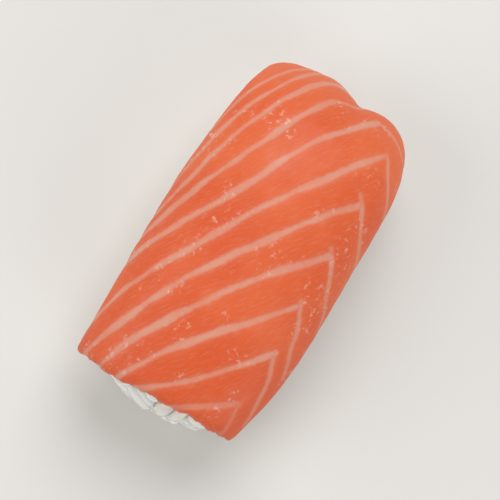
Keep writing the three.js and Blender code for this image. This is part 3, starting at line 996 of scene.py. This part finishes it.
def strew_grains(spacing, rng):
    """Angles, heights and depths of grains in loose rows round the skin, in two layers."""
    samples = np.linspace(0, 2 * math.pi, RICE_WALK_STEPS)
    angles, ups, depths = [], [], []
    for depth, share, top in GRAIN_LAYERS:
        gap = spacing * share
        rows = round(GRAIN_CLIMB * top / gap)
        for row in range(rows):
            up = GRAIN_FOOT + (top - GRAIN_FOOT) * (row + 0.5) / rows
            walk = walk_along(rice_skin(samples, np.full_like(samples, up)))
            count = round(walk[-1] / gap)
            marks = np.arange(count) + rng.uniform(0, 1)
            marks = marks + rng.uniform(-GRAIN_STREW_ALONG, GRAIN_STREW_ALONG, count)
            angles.append(np.interp(marks * walk[-1] / count % walk[-1], walk, samples))
            ups.append(up + rng.uniform(-GRAIN_STREW_UP, GRAIN_STREW_UP, count))
            depths.append(depth + rng.uniform(-GRAIN_STREW_DEPTH, GRAIN_STREW_DEPTH, count))
    return np.concatenate(angles), np.concatenate(ups), np.concatenate(depths)


def held(values, limit):
    """Values held within a limit either way."""
    return np.clip(values, -limit, limit)


def settle_grains(spacing, length, width, rng):
    """Strews grains over the skin and lets them push each other along it, in and out."""
    angle, up, depth = strew_grains(spacing, rng)
    count = len(angle)
    turn = rng.uniform(0, math.pi, count)
    size = rng.uniform(*GRAIN_SIZES, count)
    upright = rng.uniform(0, 1, count) < GRAIN_UPRIGHT_SHARE
    steep = rng.uniform(*GRAIN_UPRIGHT_LEAN, count) * np.sign(rng.uniform(-1, 1, count))
    lean = np.where(upright, steep, rng.uniform(-GRAIN_LYING_LEAN, GRAIN_LYING_LEAN, count))
    sunk = np.abs(lean) / np.hypot(1, lean) * (length - width) / 2 * size
    depth = depth - sunk
    highest = GRAIN_PROUD - sunk
    beads = np.array(GRAIN_BEADS)
    reach = (width / 2 * size[:, None] * np.array(GRAIN_BEAD_SIZES)).ravel()
    owner = np.repeat(np.arange(count), len(beads))
    for _ in range(GRAIN_ROUNDS):
        skin, round_way, up_way, outward = rice_directions(angle, up)
        flat_way = np.cos(turn)[:, None] * unit(round_way) + np.sin(turn)[:, None] * unit(up_way)
        axis = unit(flat_way + lean[:, None] * outward)
        middle = skin + outward * depth[:, None]
        arms = axis[:, None, :] * (beads[None, :, None] * (length / 2 * size)[:, None, None])
        places = (middle[:, None, :] + arms).reshape(-1, 3)

        # Beads push each other, and are kept under the slice and off the table
        push = press_apart(places, reach, owner) * GRAIN_PUSH
        ceiling = underside_at(places[:, 0], places[:, 1])[0] - reach * GRAIN_OFF_SLICE
        push[:, 2] -= np.maximum(0, places[:, 2] - ceiling) * GRAIN_KEPT_OFF
        push[:, 2] += np.maximum(0, reach * GRAIN_OFF_TABLE - places[:, 2]) * GRAIN_KEPT_OFF
        push = push.reshape(count, len(beads), 3)

        # Each grain follows its beads round the bed, up the skin, in and out, and turns with them
        move = push.sum(1)
        angle += held((move * round_way).sum(1) / ((round_way**2).sum(1) + SMALL), GRAIN_MOST_ROUND)
        up += held((move * up_way).sum(1) / ((up_way**2).sum(1) + SMALL), GRAIN_MOST_UP)
        up = np.clip(up, *GRAIN_UP_RANGE)
        depth = np.clip(depth + (move * outward).sum(1), highest - GRAIN_DEEPEST, highest)
        twist = (np.cross(arms, push).sum(1) * outward).sum(1)
        turn += held(twist * GRAIN_TWIST, GRAIN_MOST_TURN)
    return middle, axis, outward, size


def bottom_grains(spacing, rng):
    """Grains under the bed, lying flat on the table."""
    half_length = RICE_HALF_LENGTH - BOTTOM_INSET
    half_width = RICE_HALF_WIDTH - BOTTOM_INSET
    places = []
    for row, y in enumerate(np.arange(-half_width, half_width + ROUNDING, spacing)):
        shift = (row % 2) * spacing * BOTTOM_PITCH / 2
        for x in np.arange(-half_length, half_length + ROUNDING, spacing * BOTTOM_PITCH):
            x = x + shift + rng.uniform(-BOTTOM_STREW_ALONG, BOTTOM_STREW_ALONG)
            if abs(x / half_length) ** RICE_CORNER + abs(y / half_width) ** RICE_CORNER < 1:
                across = y + rng.uniform(-BOTTOM_STREW_ACROSS, BOTTOM_STREW_ACROSS)
                places.append((RICE_MIDDLE + x, across, BOTTOM_HEIGHT + rng.uniform(*BOTTOM_STREW_UP)))
    places = np.array(places)
    count = len(places)
    turn = rng.uniform(0, math.pi, count)
    axis = np.stack([np.cos(turn), np.sin(turn), rng.uniform(-BOTTOM_LEAN, BOTTOM_LEAN, count)], 1)
    outward = np.tile([0.0, 0.0, -1.0], (count, 1))
    return places, unit(axis), outward, rng.uniform(*BOTTOM_SIZES, count)


def one_grain():
    """Model grain along X, one unit long and wide.

    It is a sphere drawn out blunt, thinner towards one end and nicked there.
    """
    deselect_all()
    bpy.ops.mesh.primitive_uv_sphere_add(segments=GRAIN_SIDES, ring_count=GRAIN_RINGS, radius=0.5)
    grain = bpy.context.object
    bpy.ops.object.mode_set(mode="EDIT")
    bpy.ops.mesh.select_all(action="SELECT")
    bpy.ops.transform.rotate(value=math.pi / 2, orient_axis="Y", center_override=(0, 0, 0))
    bpy.ops.object.mode_set(mode="OBJECT")
    places = places_of(grain.data)
    along = np.clip(places[:, 0] * 2, -1, 1)
    round_girth = np.sqrt(np.maximum(TINY, 1 - along**2))
    blunt_girth = np.sqrt(1 - np.abs(along) ** GRAIN_BLUNTNESS)
    places[:, 1:] *= (blunt_girth / round_girth * (1 - GRAIN_TAPER * along))[:, None]
    nick = hump(along, NICK_PLACE, NICK_WIDTH) * np.maximum(0, places[:, 2])
    places[:, 2] -= NICK_DEPTH * nick
    faces = [tuple(f.vertices) for f in grain.data.polygons]
    bpy.data.meshes.remove(grain.data)
    return places, faces


def place_grain(form, place, axis, outward, size, length, width, rng):
    """Points of one grain, rolled about its axis, slightly bowed and swayed."""
    side = unit(np.cross(outward, axis))
    third = np.cross(axis, side)
    roll = rng.uniform(0, 2 * math.pi)
    rolled_side = math.cos(roll) * side + math.sin(roll) * third
    rolled_third = math.cos(roll) * third - math.sin(roll) * side
    across = width * rng.uniform(*GRAIN_WIDTHS)
    deep = width * rng.uniform(*GRAIN_DEPTHS)
    local = form * (np.array([length, across, deep]) * size)
    local[:, 2] += rng.uniform(-GRAIN_BOW, GRAIN_BOW) * (2 * form[:, 0]) ** 2
    sway = rng.uniform(-GRAIN_SWAY, GRAIN_SWAY)
    local[:, 1] += sway * wave((GRAIN_SWAY_RATE, rng.uniform(*GRAIN_SWAY_STARTS)), form[:, 0])
    return place + local @ np.stack([axis, rolled_side, rolled_third])


def grain_mesh(name, grains, form, faces, length, width, rng):
    """One mesh of all the grains, pressed flat on the table and clear of the slice."""
    all_places, all_faces, tones = [], [], []
    for place, axis, outward, size in zip(*grains):
        points = place_grain(form, place, axis, outward, size, length, width, rng)
        tone = rng.uniform(0, 1)
        ceiling = underside_at(points[:, 0], points[:, 1])[0] - GRAIN_CLEARANCE
        if (points[:, 2] - ceiling).max() > GRAIN_MOST_PRESSED:
            continue
        points[:, 2] = np.maximum(np.minimum(points[:, 2], ceiling), 0.0)
        start = len(all_places) * len(form)
        all_faces.extend([tuple(v + start for v in face) for face in faces])
        all_places.append(points)
        tones.append(np.full(len(form), tone))
    mesh = bpy.data.meshes.new(name)
    mesh.from_pydata((np.concatenate(all_places) * MM).tolist(), [], all_faces)
    mesh.update()
    add_values(mesh, "grain_tone_and_core_shade", np.concatenate(tones))
    return mesh


def rice_core():
    """Smaller body of rice behind the grains, from a sphere drawn over the skin."""
    deselect_all()
    bpy.ops.mesh.primitive_uv_sphere_add(segments=CORE_STEPS_ROUND, ring_count=CORE_STEPS_UP, radius=1)
    core = bpy.context.object
    places = places_of(core.data)
    angle = np.arctan2(places[:, 1], places[:, 0])
    climb = 1 - np.arccos(np.clip(places[:, 2], -1, 1)) / math.pi
    side_up = (climb - CORE_FOOT) / (CORE_RIM - CORE_FOOT)
    top_up = 1 + (climb - CORE_RIM) / (1 - CORE_RIM)
    up = np.where(climb < CORE_RIM, side_up, top_up)
    skin, _, _, outward = rice_directions(angle, np.clip(up, *CORE_UP_RANGE))
    first_wave, second_wave = (np.sin(skin @ np.array(rates)) for rates in CORE_BUMP_WAVES)
    bumps = CORE_BUMP * first_wave * second_wave
    inset = np.where(up > CORE_TOP_START, CORE_TOP_INSET, CORE_INSET)
    drawn = skin - outward * (inset + bumps * (up < CORE_BUMP_END))[:, None]
    x, y = rice_plan(angle, np.clip(climb / CORE_FOOT, 0, 1) * CORE_UNDER)
    under = np.stack([x, y, np.full_like(x, CORE_LIFT)], -1)
    drawn = np.where((climb < CORE_FOOT)[:, None], under, drawn)
    drawn[:, 2] = np.maximum(drawn[:, 2], CORE_LIFT)
    set_places(core.data, drawn * MM)
    # The core is painted mostly in the darker clear-grain colour, as shade in the gaps between the grains
    add_values(core.data, "grain_tone_and_core_shade", np.full(len(drawn), CORE_PAINTED_SHADE_TONE))
    return core


def finish_piece(piece, name, material, node):
    """Names a piece, dresses it and puts it in the place of its CAD node."""
    piece.name = name
    piece.data.name = name
    piece.data.materials.clear()
    piece.data.materials.append(material)
    deselect_all()
    piece.select_set(True)
    bpy.context.view_layer.objects.active = piece
    bpy.ops.object.shade_smooth()
    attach(piece, "root")
    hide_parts(node)


class NIGIRI_OT_lay_rice(bpy.types.Operator):
    """Lay the bed of rice grains over its core"""

    bl_idname = "nigiri.lay_rice"
    bl_label = "Lay Rice"

    def execute(self, context):
        settings = context.scene.nigiri_rice
        rng = np.random.default_rng(settings.seed)
        length = settings.grain_length / MM
        width = settings.grain_width / MM
        spacing = settings.grain_spacing / MM
        form, faces = one_grain()
        layers = [
            settle_grains(spacing, length, width, rng),
            bottom_grains(spacing * BOTTOM_ROW_GAP, rng),
        ]
        grains = [np.concatenate(parts) for parts in zip(*layers)]
        mesh = grain_mesh("rice_grains", grains, form, faces, length, width, rng)
        heap = bpy.data.objects.new("rice_grains", mesh)
        context.scene.collection.objects.link(heap)
        material = rice_material(settings)
        finish_piece(heap, "rice_grains", material, "rice_bed")
        finish_piece(rice_core(), "rice_core", material, "rice_bed")
        return {"FINISHED"}


class NIGIRI_OT_drape_salmon(bpy.types.Operator):
    """Drape the slice of salmon over the rice"""

    bl_idname = "nigiri.drape_salmon"
    bl_label = "Drape Salmon"

    def execute(self, context):
        settings = context.scene.nigiri_salmon
        slab = slab_of_steps()
        drape_slice(slab, settings)
        finish_piece(slab, "salmon_drape", salmon_material(settings), "salmon_slice")
        return {"FINISHED"}


def set_floor(settings):
    """Lays the pale floor just under the piece."""
    deselect_all()
    bpy.ops.mesh.primitive_plane_add(size=FLOOR_SIZE, location=(0, 0, -FLOOR_DROP))
    floor = bpy.context.object
    floor.name = "floor"
    bpy.ops.object.transform_apply(location=True)
    floor.data.materials.append(floor_material(settings))


def set_lights(settings):
    """Hangs the soft lights round the piece, in a pale room."""
    middle = Vector(STAGE_MIDDLE)
    for name, place, size, power, share in LIGHTS:
        turn = (Vector(place) - middle).to_track_quat("Z", "Y").to_euler()
        bpy.ops.object.light_add(type="AREA", location=place, rotation=turn)
        light = bpy.context.object
        light.name = name
        light.data.energy = getattr(settings, power) * share
        light.data.shape = "DISK"
        light.data.size = size

    world = bpy.data.worlds.new("soft_room")
    world.use_nodes = True
    background = world.node_tree.nodes["Background"]
    background.inputs["Color"].default_value = ROOM_COLOUR
    background.inputs["Strength"].default_value = ROOM_STRENGTH
    bpy.context.scene.world = world
    bpy.context.scene.view_settings.view_transform = "Standard"


def set_camera(settings):
    """Looks down on the piece from nearly overhead."""
    up = Vector((math.cos(settings.turn), math.sin(settings.turn), 0))
    right = Vector((up.y, -up.x, 0))
    back = Vector((0, 0, 1)) - up * math.tan(settings.lean_down) - right * math.tan(settings.lean_left)
    back.normalize()
    across = up.cross(back).normalized()
    turn = Matrix((across, back.cross(across), back)).transposed().to_euler()
    place = Vector(STAGE_MIDDLE) + back * settings.distance
    bpy.ops.object.camera_add(location=place, rotation=turn)
    camera = bpy.context.object
    camera.name = "camera"
    camera.data.sensor_width = SENSOR_WIDTH
    camera.data.lens = SENSOR_WIDTH * settings.distance / settings.view_width
    camera.data.clip_start = CLIP_START
    bpy.context.scene.camera = camera


class NIGIRI_OT_set_stage(bpy.types.Operator):
    """Set the floor, the soft lights and the camera"""

    bl_idname = "nigiri.set_stage"
    bl_label = "Set Stage"

    def execute(self, context):
        settings = context.scene.nigiri_stage
        set_floor(settings)
        set_lights(settings)
        set_camera(settings)
        return {"FINISHED"}


class NIGIRI_PT_panel(bpy.types.Panel):
    """Sizes, colours and steps of the nigiri"""

    bl_idname = "NIGIRI_PT_panel"
    bl_label = "Salmon Nigiri"
    bl_space_type = "VIEW_3D"
    bl_region_type = "UI"
    bl_category = "Nigiri"

    def draw(self, context):
        for group, operator in (
            ("nigiri_rice", NIGIRI_OT_lay_rice),
            ("nigiri_salmon", NIGIRI_OT_drape_salmon),
            ("nigiri_stage", NIGIRI_OT_set_stage),
        ):
            box = self.layout.box()
            settings = getattr(context.scene, group)
            for name in settings.__annotations__:
                box.prop(settings, name)
            box.operator(operator.bl_idname)


CLASSES = (
    NigiriRiceSettings,
    NigiriSalmonSettings,
    NigiriStageSettings,
    NIGIRI_OT_lay_rice,
    NIGIRI_OT_drape_salmon,
    NIGIRI_OT_set_stage,
    NIGIRI_PT_panel,
)


def register():
    for cls in CLASSES:
        bpy.utils.register_class(cls)
    bpy.types.Scene.nigiri_rice = PointerProperty(type=NigiriRiceSettings)
    bpy.types.Scene.nigiri_salmon = PointerProperty(type=NigiriSalmonSettings)
    bpy.types.Scene.nigiri_stage = PointerProperty(type=NigiriStageSettings)


def unregister():
    del bpy.types.Scene.nigiri_rice
    del bpy.types.Scene.nigiri_salmon
    del bpy.types.Scene.nigiri_stage
    for cls in reversed(CLASSES):
        bpy.utils.unregister_class(cls)


def main():
    register()
    bpy.ops.nigiri.set_stage()
    bpy.ops.nigiri.lay_rice()
    bpy.ops.nigiri.drape_salmon()


if __name__ == "__main__":
    main()
